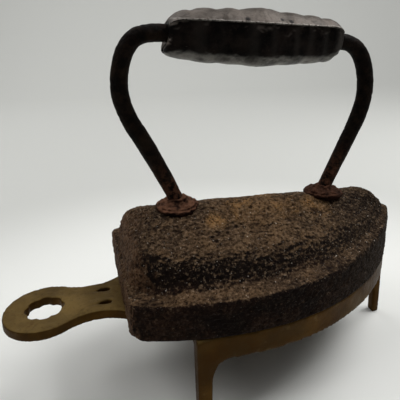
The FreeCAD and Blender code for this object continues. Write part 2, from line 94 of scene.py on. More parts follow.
def step(tree, value, low, high, bottom=0.0, top=1.0):
    """Soft step of a value from low to high."""
    inputs = {"Value": value, "From Min": low, "From Max": high, "To Min": bottom, "To Max": top}
    return node(tree, "ShaderNodeMapRange", inputs, interpolation_type="SMOOTHSTEP").outputs[0]


def sums(tree, operation, first, second):
    """The result of one arithmetic operation on two values."""
    return node(tree, "ShaderNodeMath", {0: first, 1: second}, operation=operation).outputs[0]


def blend_colour(tree, share, first, second):
    """Colour that goes from first to second as share goes from 0 to 1."""
    made = node(tree, "ShaderNodeMix", data_type="RGBA")
    for index, value in ((0, share), (6, first), (7, second)):
        feed(tree, made.inputs[index], (*value, 1) if isinstance(value, tuple) else value)
    return made.outputs[2]


def axes(tree, vector):
    """The X, Y and Z sockets of a vector socket."""
    return node(tree, "ShaderNodeSeparateXYZ", {0: vector}).outputs


def new_material(name):
    """An empty material with a surface shader; returns material, tree, shader and object place."""
    material = bpy.data.materials.new(name)
    material.use_nodes = True
    tree = material.node_tree
    shader = tree.nodes["Principled BSDF"]
    place = node(tree, "ShaderNodeTexCoord").outputs["Object"]
    return material, tree, shader, place


def finish(tree, shader, colour, roughness, specular, metallic=0.0):
    """Set a shader's colour, and its roughness, as a socket or a value, with its plain values."""
    feed(tree, shader.inputs["Base Color"], colour)
    feed(tree, shader.inputs["Roughness"], roughness)
    feed(tree, shader.inputs["Specular IOR Level"], specular)
    feed(tree, shader.inputs["Metallic"], metallic)


def bump(tree, shader, height, depth):
    """Fine relief of a height socket, depth metres deep, on a shader."""
    made = node(tree, "ShaderNodeBump", {"Height": height, "Distance": depth, "Strength": 1.0})
    feed(tree, shader.inputs["Normal"], made.outputs[0])


def upward(tree):
    """1 where a surface looks up, 0 where it is upright, negative where it looks down."""
    return axes(tree, node(tree, "ShaderNodeNewGeometry").outputs["Normal"])["Z"]


def relief(tree):
    """The height that the skin left at each point: negative in pits, positive on lumps."""
    return node(tree, "ShaderNodeAttribute", attribute_name="relief").outputs["Fac"]


def skin_tree():
    """Cast or forged skin: broad lumps and finer pits along the normal, kept as an attribute."""
    tree = bpy.data.node_groups.new("iron_skin", "GeometryNodeTree")
    sockets = [("Geometry", "Geometry"), ("Lump size", "Float"), ("Lump height", "Float"),
               ("Grain size", "Float"), ("Grain height", "Float"), ("Pit size", "Float"),
               ("Pit depth", "Float"), ("Seed", "Float"), ("Finish", "Material")]
    for name, kind in sockets:
        tree.interface.new_socket(name=name, in_out="INPUT", socket_type="NodeSocket" + kind)
    tree.interface.new_socket(name="Geometry", in_out="OUTPUT", socket_type="NodeSocketGeometry")
    given = node(tree, "NodeGroupInput").outputs
    place = node(tree, "GeometryNodeInputPosition").outputs[0]

    def field(size, detail, shift):
        scale = sums(tree, "DIVIDE", 1.0, given[size])
        inputs = {"Vector": place, "Scale": scale, "Detail": detail,
                  "W": sums(tree, "ADD", given["Seed"], shift)}
        return node(tree, "ShaderNodeTexNoise", inputs, noise_dimensions="4D").outputs[0]

    lumps = sums(tree, "SUBTRACT", field("Lump size", 2.0, 0.0), 0.5)
    lumps = sums(tree, "MULTIPLY", lumps, given["Lump height"])
    grain = sums(tree, "SUBTRACT", field("Grain size", 3.0, 7.3), 0.5)
    grain = sums(tree, "MULTIPLY", grain, given["Grain height"])
    pits = step(tree, field("Pit size", 1.0, 13.9), 0.56, 0.74)
    pits = sums(tree, "MULTIPLY", pits, given["Pit depth"])
    height = sums(tree, "SUBTRACT", sums(tree, "ADD", lumps, grain), pits)
    exposed = node(tree, "GeometryNodeInputNamedAttribute", {"Name": "exposed"}).outputs[0]
    height = sums(tree, "MULTIPLY", height, exposed)
    normal = node(tree, "GeometryNodeInputNormal").outputs[0]
    offset = node(tree, "ShaderNodeVectorMath", {0: normal, "Scale": height}, operation="SCALE")
    moved = node(tree, "GeometryNodeSetPosition",
                 {"Geometry": given["Geometry"], "Offset": offset.outputs[0]})
    kept = node(tree, "GeometryNodeStoreNamedAttribute",
                {"Geometry": moved.outputs[0], "Name": "relief", "Value": height})
    smooth = node(tree, "GeometryNodeSetShadeSmooth", {"Geometry": kept.outputs[0]})
    whole = node(tree, "GeometryNodeRealizeInstances", {"Geometry": smooth.outputs[0]})
    finished = node(tree, "GeometryNodeSetMaterial",
                    {"Geometry": whole.outputs[0], "Material": given["Finish"]})
    tree.links.new(finished.outputs[0], node(tree, "NodeGroupOutput").inputs[0])
    return tree


IRON_SKIN = skin_tree()


def run_tree(piece, tree, **values):
    """Put a node tree on a piece with named inputs, and turn the result into its plain mesh,
    trimmed where a lump would stand past the whole object's box."""
    modifier = piece.modifiers.new(tree.name, "NODES")
    modifier.node_group = tree
    for item in tree.interface.items_tree:
        key = item.name.lower().replace(" ", "_")
        if item.in_out == "INPUT" and key in values:
            modifier[item.identifier] = values[key]
    graph = bpy.context.evaluated_depsgraph_get()
    mesh = bpy.data.meshes.new_from_object(piece.evaluated_get(graph))
    piece.modifiers.clear()
    spots = np.empty(len(mesh.vertices) * 3, np.float32)
    mesh.vertices.foreach_get("co", spots)
    low, high = np.array(cad_box[0]) + BOX_MARGIN, np.array(cad_box[1]) - BOX_MARGIN
    mesh.vertices.foreach_set("co", np.clip(spots.reshape(-1, 3), low, high).ravel())
    if piece.type == "MESH":
        piece.data = mesh
        return piece
    made = placed(piece.name + "_bar", mesh)
    bpy.data.objects.remove(piece)
    return made


def merge(mesh, turn_out):
    """Join the points that coincide and, if asked, make every face look outwards."""
    work = bmesh.new()
    work.from_mesh(mesh)
    bmesh.ops.remove_doubles(work, verts=work.verts, dist=MERGE_DISTANCE)
    if turn_out:
        bmesh.ops.recalc_face_normals(work, faces=work.faces)
    work.to_mesh(mesh)
    work.free()


def placed(name, data):
    """A new object in the scene that holds a mesh, curve, light or camera."""
    piece = bpy.data.objects.new(name, data)
    bpy.context.scene.collection.objects.link(piece)
    return piece


def mesh_piece(name, points, faces):
    """A mesh object from points in metres, its faces made to look outwards."""
    mesh = bpy.data.meshes.new(name)
    mesh.from_pydata([tuple(point) for point in points], [], faces)
    merge(mesh, turn_out=True)
    return placed(name, mesh)


def expose(piece, share=None):
    """Mark how far each point takes the rough skin: fully, or as share(x, y, z) says."""
    values = [1.0 if share is None else share(*vertex.co) for vertex in piece.data.vertices]
    marks = piece.data.attributes.new("exposed", "FLOAT", "POINT")
    marks.data.foreach_set("value", values)


def old_brass():
    """Brass long unpolished: olive film on top, golden brown sides, dark in the hollows."""
    material, tree, shader, place = new_material("old_brass")
    cloud = noise(tree, place, 0.025, 4, 0.55, 1.0)
    patch = step(tree, cloud, 0.4, 0.62)
    olive = blend_colour(tree, patch, (0.097, 0.061, 0.019), (0.143, 0.092, 0.030))
    golden = blend_colour(tree, patch, (0.043, 0.019, 0.0036), (0.076, 0.037, 0.0072))
    film = blend_colour(tree, step(tree, upward(tree), 0.3, 0.8), golden, olive)
    stain = noise(tree, place, 0.006, 5, 0.65, 2.0)
    film = blend_colour(tree, step(tree, stain, 0.55, 0.75, 0, 0.6), film, (0.062, 0.032, 0.014))
    film = blend_colour(tree, step(tree, stain, 0.26, 0.42, 0.35, 0), film, (0.17, 0.12, 0.05))
    speck = noise(tree, place, 0.0012, 3, 0.6, 3.0)
    film = blend_colour(tree, step(tree, speck, 0.56, 0.7, 0, 0.5), film, (0.03, 0.02, 0.009))
    low = step(tree, relief(tree), -0.00012, 0.00008, 0.5, 0.0)
    film = blend_colour(tree, low, film, (0.04, 0.026, 0.01))
    finish(tree, shader, film, step(tree, stain, 0.3, 0.7, 0.4, 0.6), specular=0.02, metallic=0.35)
    bump(tree, shader, noise(tree, place, 0.0011, 4, 0.6, 4.0), 0.00014)
    return material


VOXEL = 0.8 * MM
SOFTEN_FACTOR = 0.5
SOFTEN_ROUNDS = 3


def make_trivet():
    """The casting's softened form: its sharp model remeshed evenly and smoothed."""
    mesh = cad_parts["trivet"].data.copy()
    mesh.materials.clear()
    merge(mesh, turn_out=False)
    piece = placed("brass_trivet", mesh)
    remesh = piece.modifiers.new("even_skin", "REMESH")
    remesh.mode = "VOXEL"
    remesh.voxel_size = VOXEL
    soften = piece.modifiers.new("fettled", "SMOOTH")
    soften.factor = SOFTEN_FACTOR
    soften.iterations = SOFTEN_ROUNDS
    graph = bpy.context.evaluated_depsgraph_get()
    rounded = bpy.data.meshes.new_from_object(piece.evaluated_get(graph))
    piece.modifiers.clear()
    piece.data = rounded
    expose(piece)
    return run_tree(piece, IRON_SKIN, lump_size=14 * MM, lump_height=0.5 * MM, grain_size=3 * MM,
                    grain_height=0.12 * MM, pit_size=2.2 * MM, pit_depth=0.12 * MM, seed=4.0,
                    finish=old_brass())


trivet = make_trivet()
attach(trivet, "trivet")
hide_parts("trivet")

# ---------------------------------------------------------------- iron body
# The iron itself is one grey-iron casting: a thick slab with a ledge round it
# and a crowned hump on top. The sand left it coarse, and rust has pitted it.

IRON_LOW, IRON_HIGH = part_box("iron_body")
HEEL_X = IRON_LOW.x / MM
SOLE_Z = IRON_LOW.z / MM
IRON_LONG = (IRON_HIGH.x - IRON_LOW.x) / MM
IRON_HALF = IRON_HIGH.y / MM
WIDEST = 65.0
RING_SPACING = 0.5
SIDE_STEPS = {"toe": 14, "front": 118, "rear": 72, "corner": 34, "heel": 28}

# Level contours of the casting, from the sole up to the top: inset of the sides,
# heel line and its half-width, corner radius, inset of the toe, toe radius,
# height over the sole, and how much of the crown's fall and of the ledge's rise
# towards the toe it has.
CONTOURS = [
    (1.4, 1.4, 40.8, 3.6, 1.4, 4, 0.0, 0, 0),
    (0.7, 0.7, 41.5, 3.6, 0.7, 5, 0.4, 0, 0),
    (0.4, 0.4, 41.9, 3.2, 0.4, 5, 1.6, 0, 0),
    (0.4, 0.4, 41.9, 3.0, 0.4, 5, 16.4, 0, 0.88),
    (0.8, 0.7, 41.5, 3.2, 0.8, 5, 17.9, 0, 0.97),
    (2.0, 1.1, 40.6, 4.0, 1.6, 5, 18.5, 0, 1),
    (6.4, 1.9, 40.0, 26.0, 4.0, 6.5, 19.1, 0, 1),
    (9.1, 2.3, 38.5, 24.0, 5.4, 7.5, 19.8, 0.0, 1),
    (11.6, 2.7, 37.5, 22.0, 6.2, 8, 21.5, 0.02, 0.97),
    (13.6, 3.2, 36.5, 20.0, 6.8, 8, 24.0, 0.12, 0.88),
    (16.1, 4.2, 35.5, 17.5, 7.4, 8, 27.5, 0.4, 0.76),
    (19.4, 5.6, 33.6, 14.5, 8.1, 8, 31.0, 0.7, 0.66),
    (22.4, 6.9, 31.6, 12.5, 8.8, 8, 33.2, 0.92, 0.6),
    (25.4, 8.3, 29.2, 11.5, 9.5, 8, 34.6, 1.0, 0.5),
    (30.4, 10.0, 24.4, 10.0, 10.6, 8, 36.5, 1.0, 0.36),
    (35.4, 11.6, 19.6, 8.5, 11.8, 8, 38.5, 1, 0.2),
    (40.2, 13.5, 15.0, 7.0, 13.1, 7.5, 40.5, 1, 0.1),
    (45.0, 16.0, 10.4, 6.0, 14.8, 6.6, 42.5, 1, 0.04),
    (48.8, 18.5, 6.8, 4.5, 17.0, 5.4, 44.0, 1, 0),
    (52.0, 21.5, 3.8, 2.8, 20.4, 3.6, 45.0, 1, 0),
    (55.5, 27.0, 0.7, 0.5, 26.6, 0.76, 45.6, 1, 0),
]
# The crown falls towards the toe at one slope and dips a little towards the heel;
# the ledge is level at the heel and then bends up with one radius.
CROWN_FALL = math.tan(math.radians(2.6))
CROWN_LEVEL_AT = 30.0
HEEL_DIP = 0.0028
LEDGE_LEVEL_TO = 48.0
LEDGE_BEND = 1100.0
# How a bottom heel corner is worn: half-width of the heel there, how far the wear
# spreads along and up, and how far it goes inwards and upwards.
HEEL_CORNER = 42.0
WEAR_REACH = 3.4
WEAR_TALL = 7.0
WEAR_IN = 1.3
WEAR_UP = 1.1


def through(knots, values, at):
    """Monotone curve through the given values, read at the places asked for."""
    knots, values = np.asarray(knots, float), np.asarray(values, float)
    gaps = np.diff(knots)
    slopes = np.diff(values) / gaps
    tangents = np.zeros(len(knots))
    for i in range(1, len(knots) - 1):
        if slopes[i - 1] * slopes[i] > 0:
            w1, w2 = 2 * gaps[i] + gaps[i - 1], gaps[i] + 2 * gaps[i - 1]
            tangents[i] = (w1 + w2) / (w1 / slopes[i - 1] + w2 / slopes[i])
    tangents[0], tangents[-1] = slopes[0], slopes[-1]
    cell = np.clip(np.searchsorted(knots, at, side="right") - 1, 0, len(gaps) - 1)
    t = (at - knots[cell]) / gaps[cell]
    h00, h10 = 2 * t**3 - 3 * t**2 + 1, t**3 - 2 * t**2 + t
    h01, h11 = -2 * t**3 + 3 * t**2, t**3 - t**2
    low, high = tangents[cell] * gaps[cell], tangents[cell + 1] * gaps[cell]
    return h00 * values[cell] + h10 * low + h01 * values[cell + 1] + h11 * high


def half_outline(half, heel, heel_half, corner, toe, nose):
    """Left half of a flat-iron outline from the toe to the middle of the heel, in mm."""
    reach = toe - nose - WIDEST
    front = (reach**2 + half**2 - nose**2) / (2 * (half - nose))
    lean = math.atan2(front - half, reach)
    rear = ((WIDEST - heel) ** 2 + (half - heel_half) ** 2) / (2 * (half - heel_half))
    across = WIDEST - heel - corner
    corner_y = half - rear + math.sqrt((rear - corner) ** 2 - across**2)
    meet = math.atan2(corner_y - (half - rear), -across)

    def arc(centre_x, centre_y, radius, start, end, steps):
        angles = np.linspace(start, end, steps, endpoint=False)
        return np.stack([centre_x + radius * np.cos(angles), centre_y + radius * np.sin(angles)], 1)

    right_angle = math.pi / 2
    heel_run = np.linspace(corner_y, 0, SIDE_STEPS["heel"] + 1)
    return np.concatenate([
        arc(toe - nose, 0, nose, 0, lean, SIDE_STEPS["toe"]),
        arc(WIDEST, half - front, front, lean, right_angle, SIDE_STEPS["front"]),
        arc(WIDEST, half - rear, rear, right_angle, meet, SIDE_STEPS["rear"]),
        arc(heel + corner, corner_y, corner, meet, math.pi, SIDE_STEPS["corner"]),
        np.stack([np.full_like(heel_run, heel), heel_run], 1),
    ])


def run_lengths(points):
    """Distance along a line of points, from its first point to each."""
    return np.concatenate([[0], np.cumsum(np.linalg.norm(np.diff(points, axis=0), axis=1))])


def iron_rings():
    """Closed rings of points from the sole's edge to the ridge of the crown, in mm."""
    table = np.array(CONTOURS)
    along = run_lengths(np.stack([table[:, 0], table[:, 6]], 1))
    at = np.linspace(0, along[-1], int(along[-1] / RING_SPACING))
    columns = [through(along, table[:, i], at) for i in range(table.shape[1])]
    rings = []
    for inset, heel, heel_half, corner, toe_inset, nose, height, fall, lift in zip(*columns):
        half = IRON_HALF - inset
        heel_half = min(heel_half, half - 0.05)
        left = half_outline(half, heel, heel_half, corner, IRON_LONG - toe_inset, nose)
        right = left[-2:0:-1] * (1, -1)
        ring = np.concatenate([left, right])
        ahead = ring[:, 0] - CROWN_LEVEL_AT
        drop = fall * (CROWN_FALL * ahead - HEEL_DIP * np.minimum(ahead, 0) ** 2)
        rise = lift * np.maximum(ring[:, 0] - LEDGE_LEVEL_TO, 0) ** 2 / (2 * LEDGE_BEND)
        rings.append(np.column_stack([ring[:, 0], ring[:, 1], height - drop + rise]))
    return np.array(rings)


def worn(rings):
    """Knock the bottom heel corners round, where the iron was stood and dropped on them."""
    for side in (1, -1):
        away = np.hypot(rings[..., 0], rings[..., 1] - side * HEEL_CORNER)
        share = np.exp(-(away / WEAR_REACH) ** 2) * np.clip(1 - rings[..., 2] / WEAR_TALL, 0, 1) ** 2
        rings[..., 0] += WEAR_IN * share
        rings[..., 1] -= side * WEAR_IN * share
        rings[..., 2] += WEAR_UP * share
    return rings


def make_iron_body():
    """The casting as rings of quads, closed by strips across the sole and the crown's ridge."""
    rings = worn(iron_rings())
    count, around = rings.shape[:2]
    points = (rings.reshape(-1, 3) + (HEEL_X, 0, SOLE_Z)) * MM
    faces = []
    for ring in range(count - 1):
        for i in range(around):
            j = (i + 1) % around
            low, high = ring * around, (ring + 1) * around
            faces.append((low + i, low + j, high + j, high + i))
    for first in (0, (count - 1) * around):
        for i in range(around // 2):
            across, following = (around - i) % around, (around - i - 1) % around
            square = (first + i, first + i + 1, first + following, first + across)
            faces.append(tuple(dict.fromkeys(square)))
    piece = mesh_piece("cast_iron_body", points, faces)
    floor = SOLE_Z * MM
    expose(piece, lambda x, y, z: min(1.0, max(0.0, (z - floor) / (1.5 * MM))))
    return run_tree(piece, IRON_SKIN, lump_size=11 * MM, lump_height=1.8 * MM, grain_size=2.0 * MM,
                    grain_height=2.0 * MM, pit_size=2.1 * MM, pit_depth=0.5 * MM, seed=1.0,
                    finish=pitted_iron())


# Where orange rust has come through on the crown: distance from the heel, to
# the side, over the sole, and how far it spreads, in mm.
RUST_SPOTS = [
    (70, -9, 42, 17), (92, -9, 40, 15), (112, -10, 37, 12),
    (50, -15, 40, 8), (84, 14, 41, 20), (132, 8, 33, 12),
]


def from_heel(x, y, z):
    """A place given in mm ahead of the heel, to the left and over the sole, in metres."""
    return Vector(((HEEL_X + x) * MM, y * MM, (SOLE_Z + z) * MM))


def near(tree, place, spot, core, reach, most):
    """A share that is most around a spot, out to core of its reach in mm, and 0 past the reach."""
    away = node(tree, "ShaderNodeVectorMath", {0: place, 1: spot}, operation="DISTANCE")
    return step(tree, away.outputs["Value"], core * reach * MM, reach * MM, most, 0.0)


def pitted_iron():
    """Rusty grey iron: near black in pits, brown and orange on top, its steep sides painted near
    black as shade.
    """
    material, tree, shader, place = new_material("pitted_iron")
    broad = noise(tree, place, 0.018, 4, 0.6, 1.0)
    patch = step(tree, broad, 0.38, 0.62)
    base = blend_colour(tree, patch, (0.006, 0.0032, 0.0022), (0.022, 0.0105, 0.006))
    where = axes(tree, place)
    # painted shade: above the ledge the colour is darkened towards near black, so the hump's steep
    # sides look shaded; upward faces get the crust colour over it below
    painted_side_shade = step(tree, where["Z"], (SOLE_Z + 20) * MM, (SOLE_Z + 25) * MM, 0, 0.8)
    base = blend_colour(tree, painted_side_shade, base, (0.0022, 0.0014, 0.001))
    facing = axes(tree, node(tree, "ShaderNodeNewGeometry").outputs["Normal"])
    # painted light: faces turned to the heel are painted lighter brown, standing in for the light
    # that falls on them
    painted_heel_light = step(tree, sums(tree, "MULTIPLY", facing["X"], -1.0), 0.35, 0.85)
    base = blend_colour(tree, painted_heel_light, base, (0.096, 0.051, 0.026))
    up = facing["Z"]
    # partly real and partly painted light: upward faces take a brown crust of rust and dust, painted
    # lighter as lit from above, while steep sides keep the dark colour as painted shade
    top_crust_and_light = blend_colour(tree, patch, (0.072, 0.044, 0.024), (0.120, 0.071, 0.035))
    ledge = step(tree, where["Z"], (SOLE_Z + 21) * MM, (SOLE_Z + 26) * MM, 0.22, 0)
    top_crust_and_light = blend_colour(tree, ledge, top_crust_and_light, (0.042, 0.022, 0.0125))
    base = blend_colour(tree, step(tree, up, 0.66, 0.95), base, top_crust_and_light)
    toe = step(tree, where["X"], (HEEL_X + 78) * MM, (HEEL_X + 140) * MM, 0, 0.7)
    base = blend_colour(tree, toe, base, (0.026, 0.017, 0.010))
    rust = step(tree, noise(tree, place, 0.016, 6, 0.66, 5.0), 0.46, 0.62)
    for x, y, z, reach in RUST_SPOTS:
        around = near(tree, place, from_heel(x, y, z), 0.35, reach, 0.85)
        share = sums(tree, "MULTIPLY", around, sums(tree, "ADD", rust, 0.3))
        base = blend_colour(tree, share, base, (0.24, 0.128, 0.046))
    fine = noise(tree, place, 0.0015, 5, 0.8, 8.0)
    base = blend_colour(tree, step(tree, fine, 0.5, 0.59, 0, 0.92), base, (0.007, 0.0042, 0.003))
    # pale flecks of grain, partly painted highlight: they are kept mostly to faces that look up,
    # where the light falls
    pale = step(tree, fine, 0.37, 0.47, 0.75, 0)
    pale = sums(tree, "MULTIPLY", pale, step(tree, up, 0.0, 0.7, 0.12, 1.0))
    base = blend_colour(tree, pale, base, (0.225, 0.150, 0.090))
    low = step(tree, relief(tree), -0.0006, 0.0001, 0.85, 0.0)
    base = blend_colour(tree, low, base, (0.007, 0.004, 0.003))
    glint = step(tree, noise(tree, place, 0.0010, 2, 0.5, 11.0), 0.67, 0.73, 0, 0.9)
    glint = sums(tree, "MULTIPLY", glint, step(tree, up, 0.2, 0.7, 0.15, 1.0))
    base = blend_colour(tree, glint, base, (0.52, 0.46, 0.39))
    finish(tree, shader, base, step(tree, fine, 0.3, 0.6, 0.45, 0.8), specular=0.05)
    bump(tree, shader, noise(tree, place, 0.0017, 6, 0.7, 9.0), 0.0016)
    return material


iron_body = make_iron_body()
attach(iron_body, "iron")
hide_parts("iron_body")

# ---------------------------------------------------------------- handle bar
# One round wrought bar, heated and bent by hand into two leaning posts and a
# top bar; its ends are set in the casting. The hammer left it slightly uneven.

# Centre line from the rear socket round to the front one: distance from the
# heel, height over the sole and radius of the bar there.
BAR_ROUTE = [
    (42.0, 27.5, 3.7), (34.2, 44.5, 3.7), (27.5, 60.0, 4.1), (17.5, 80.5, 4.4), (8.6, 96.5, 4.3),
    (5.6, 110.0, 4.2), (8.2, 124.5, 4.3), (14.6, 134.6, 4.4), (27.0, 136.0, 4.4), (52.0, 134.0, 4.4),
    (100.0, 132.2, 4.4), (127.0, 131.4, 4.5), (139.5, 129.3, 4.7), (146.6, 120.0, 4.9),
    (149.8, 104.0, 4.8), (146.8, 89.0, 4.7), (137.2, 70.6, 4.4), (129.0, 54.6, 4.1),
    (122.2, 41.4, 3.8), (113.5, 24.2, 3.8),
]


def bar_tree():
    """A round bar swept along a curve, as thick as the curve's radius says."""
    tree = bpy.data.node_groups.new("round_bar", "GeometryNodeTree")
    for name, kind in (("Geometry", "Geometry"), ("Ring spacing", "Float"), ("Ring points", "Int")):
        tree.interface.new_socket(name=name, in_out="INPUT", socket_type="NodeSocket" + kind)
    tree.interface.new_socket(name="Geometry", in_out="OUTPUT", socket_type="NodeSocketGeometry")
    given = node(tree, "NodeGroupInput").outputs
    even = node(tree, "GeometryNodeResampleCurve",
                {"Curve": given["Geometry"], "Length": given["Ring spacing"]}, mode="LENGTH")
    ring = node(tree, "GeometryNodeCurvePrimitiveCircle",
                {"Resolution": given["Ring points"], "Radius": 1.0})
    swept = node(tree, "GeometryNodeCurveToMesh",
                 {"Curve": even.outputs[0], "Profile Curve": ring.outputs[0], "Fill Caps": True})
    if "Scale" in swept.inputs:
        radius = node(tree, "GeometryNodeInputRadius").outputs[0]
        tree.links.new(radius, swept.inputs["Scale"])
    whole = node(tree, "GeometryNodeRealizeInstances", {"Geometry": swept.outputs[0]})
    plain = node(tree, "GeometryNodeSetMaterial", {"Geometry": whole.outputs[0]})
    tree.links.new(plain.outputs[0], node(tree, "NodeGroupOutput").inputs[0])
    return tree


def make_handle_bar():
    """The bar swept along its route, then given the forged skin."""
    curve = bpy.data.curves.new("route", "CURVE")
    curve.dimensions = "3D"
    curve.resolution_u = 24
    spline = curve.splines.new("NURBS")
    spline.points.add(len(BAR_ROUTE) - 1)
    for point, (x, z, radius) in zip(spline.points, BAR_ROUTE):
        point.co = (*from_heel(x, 0, z), 1)
        point.radius = radius * MM
    spline.order_u = 3
    spline.use_endpoint_u = True
    route = placed("handle", curve)
    bar = run_tree(route, bar_tree(), ring_spacing=0.7 * MM, ring_points=44)
    bar.name = "wrought_handle_bar"
    expose(bar)
    return run_tree(bar, IRON_SKIN, lump_size=9 * MM, lump_height=0.7 * MM, grain_size=2.4 * MM,
                    grain_height=0.4 * MM, pit_size=1.8 * MM, pit_depth=0.25 * MM, seed=2.0,
                    finish=wrought_iron())


def wrought_iron():
    """Black oxide on a forged bar, with brown rust in it low down near the collars."""
    material, tree, shader, place = new_material("wrought_iron")
    broad = noise(tree, place, 0.006, 5, 0.65, 1.0)
    patch = step(tree, broad, 0.4, 0.66)
    base = blend_colour(tree, patch, (0.0022, 0.0016, 0.0012), (0.012, 0.0075, 0.0048))
    foot = (SOLE_Z + 45) * MM
    near_foot = step(tree, axes(tree, place)["Z"], foot + 4 * MM, foot + 30 * MM, 0.9, 0.03)
    rust = step(tree, noise(tree, place, 0.004, 5, 0.7, 3.0), 0.42, 0.6)
    rust = sums(tree, "MULTIPLY", rust, near_foot)
    base = blend_colour(tree, rust, base, (0.10, 0.042, 0.024))
    low = step(tree, relief(tree), -0.0003, 0.0001, 0.7, 0.0)
    base = blend_colour(tree, low, base, (0.003, 0.002, 0.0016))
    fine = noise(tree, place, 0.0012, 5, 0.7, 4.0)
    finish(tree, shader, base, step(tree, fine, 0.3, 0.7, 0.42, 0.7), specular=0.035)
    bump(tree, shader, fine, 0.0006)
    return material


handle_bar = make_handle_bar()
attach(handle_bar, "iron")
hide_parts("handle_rod")

# ---------------------------------------------------------------- post collars
# Each post has a rough hammered collar lying round its foot on the crown: two
# lapped layers, scaled red-brown, with an undercut at the bottom.

COLLAR_AROUND = 150
COLLAR_SAMPLES = 64
COLLAR_TILT = 2.6
# Radius inside which a collar is hidden in the bar and stays plainly round, and
# the radius from which its hammered swell grows.
COLLAR_HIDDEN = 4
COLLAR_ROOT = 3.6
# Half-section of a collar: radius and height over its underside.
COLLAR_SECTION = [
    (2.4, -5.0), (8.6, -5.0), (9.0, -2.0), (9.3, -0.4), (10.2, 0.2), (11.2, 1.0), (11.6, 2.0),
    (11.2, 2.9), (10.3, 3.4), (10.0, 4.0), (9.0, 4.6), (7.6, 5.0), (6.2, 5.5), (5.3, 6.4),
    (4.6, 7.4), (2.4, 7.4),
]


def flaking_rust():
    """Layered scale: red-brown leaves with dark gaps, paler in patches where they face up."""
    material, tree, shader, place = new_material("flaking_rust")
    broad = noise(tree, place, 0.005, 5, 0.65, 1.0)
    patch = step(tree, broad, 0.4, 0.62)
    base = blend_colour(tree, patch, (0.007, 0.0035, 0.0025), (0.028, 0.011, 0.006))
    paler_facing_up = step(tree, upward(tree), 0.3, 0.85)
    paler_facing_up = sums(tree, "MULTIPLY", paler_facing_up, step(tree, broad, 0.36, 0.6, 0.3, 0.95))
    base = blend_colour(tree, paler_facing_up, base, (0.150, 0.070, 0.040))
    toe = step(tree, axes(tree, place)["X"], (HEEL_X + 60) * MM, (HEEL_X + 110) * MM, 0, 0.6)
    base = blend_colour(tree, toe, base, (0.022, 0.008, 0.005))
    low = step(tree, relief(tree), -0.0009, 0.0, 0.9, 0.0)
    base = blend_colour(tree, low, base, (0.008, 0.004, 0.003))
    finish(tree, shader, base, 0.7, specular=0.04)
    bump(tree, shader, noise(tree, place, 0.0016, 6, 0.7, 4.0), 0.0012)
    return material


FLAKING_RUST = flaking_rust()


def make_collar(name, seat, turn):
    """Sweep the half-section round a seat on the crown, lying with the crown's fall."""
    stand = Matrix.Rotation(math.radians(COLLAR_TILT), 3, "Y")
    place = Vector((HEEL_X + seat[0], 0, SOLE_Z + seat[1]))
    section = np.array(COLLAR_SECTION)
    along = run_lengths(section)
    at = np.linspace(0, along[-1], COLLAR_SAMPLES)
    radii = np.interp(at, along, section[:, 0])
    heights = np.interp(at, along, section[:, 1])
    points, faces = [], []
    rows = COLLAR_SAMPLES
    for i in range(COLLAR_AROUND):
        angle = 2 * math.pi * i / COLLAR_AROUND
        swell = 1 + 0.05 * math.sin(2 * angle + turn) + 0.03 * math.sin(5 * angle + 2 * turn)
        for radius, height in zip(radii, heights):
            outer = radius if radius < COLLAR_HIDDEN else COLLAR_ROOT + (radius - COLLAR_ROOT) * swell
            tilt = 0.5 * math.sin(angle + turn) * (height > 0)
            local = Vector((outer * math.cos(angle), outer * math.sin(angle), height + tilt))
            points.append((place + stand @ local) * MM)
        step_on = ((i + 1) % COLLAR_AROUND) * rows
        for k in range(rows):
            following = (k + 1) % rows
            faces.append((i * rows + k, step_on + k, step_on + following, i * rows + following))
    piece = mesh_piece(name, points, faces)
    expose(piece)
    return run_tree(piece, IRON_SKIN, lump_size=6 * MM, lump_height=3.6 * MM, grain_size=2.2 * MM,
                    grain_height=1.8 * MM, pit_size=2.0 * MM, pit_depth=0.5 * MM, seed=turn,
                    finish=FLAKING_RUST)


COLLARS = [("rear_post_collar", (32.8, 43.0), 0.6), ("front_post_collar", (123.0, 38.9), 2.9)]
for collar_node, seat, turn in COLLARS:
    collar = make_collar("scaled_" + collar_node, seat, turn)
    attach(collar, "iron")
    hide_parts(collar_node)

# ---------------------------------------------------------------- hand grip
# The grip is a hollow casting in two shells closed round the bar, with seven
# swells for the fingers and a sharp joint line; its top and belly are painted pale as the sheen of
# reflected light.

# Ends of the grip's axis and its length, in mm from the heel and over the sole.
GRIP_REAR, GRIP_FRONT = Vector((30.2, 0, 134.99)), Vector((128.5, 0, 131.13))
GRIP_LONG = 98.3
# Swells from the rear: width along the grip and half-height of the crest.
SWELLS = [
    (12.0, 11.7), (14.2, 13.5), (12.7, 14.1), (23.8, 15.15),
    (14.8, 13.8), (12.0, 12.9), (13.0, 11.8),
]
# Half-height at the ends, and how deep the valleys between the swells are.
REAR_END = 10.2
FRONT_END = REAR_END + 0.4
VALLEY = 1.0
BELLY_VALLEY = 0.55
SIDE_VALLEY = 0.35
# Section: half-width for a half-height of 1, height of the sharp ridge and its
# limit on a small swell, roundness of cap and belly, and the cheek under the ridge.
GRIP_WIDE = 0.9
RIDGE = 7.3
RIDGE_LIMIT = 0.6
CAP_POWER = 1.9
BELLY_POWER = 0.8
OVERHANG = 0.7
CHEEK_END = 0.42
CHEEK_SWELL = 0.5
CHEEK_LEAN = 0.7
JOINT_DROP = 0.15
# Ends: lengths that are rounded and how much they narrow, the lip and slant of
# the rear end and the tuck under the front one, and how far along each fades.
REAR_ROUND, REAR_NARROW = 4.0, 0.22
FRONT_ROUND, FRONT_NARROW = 11.0, 0.4
REAR_LIP, LIP_FADE = 2.6, 6
REAR_SLANT, SLANT_FROM, SLANT_FADE = 0.36, 4, 8
FRONT_TUCK, TUCK_FADE = 2.4, 7
LOW_FROM, LOW_TALL = 1, 8
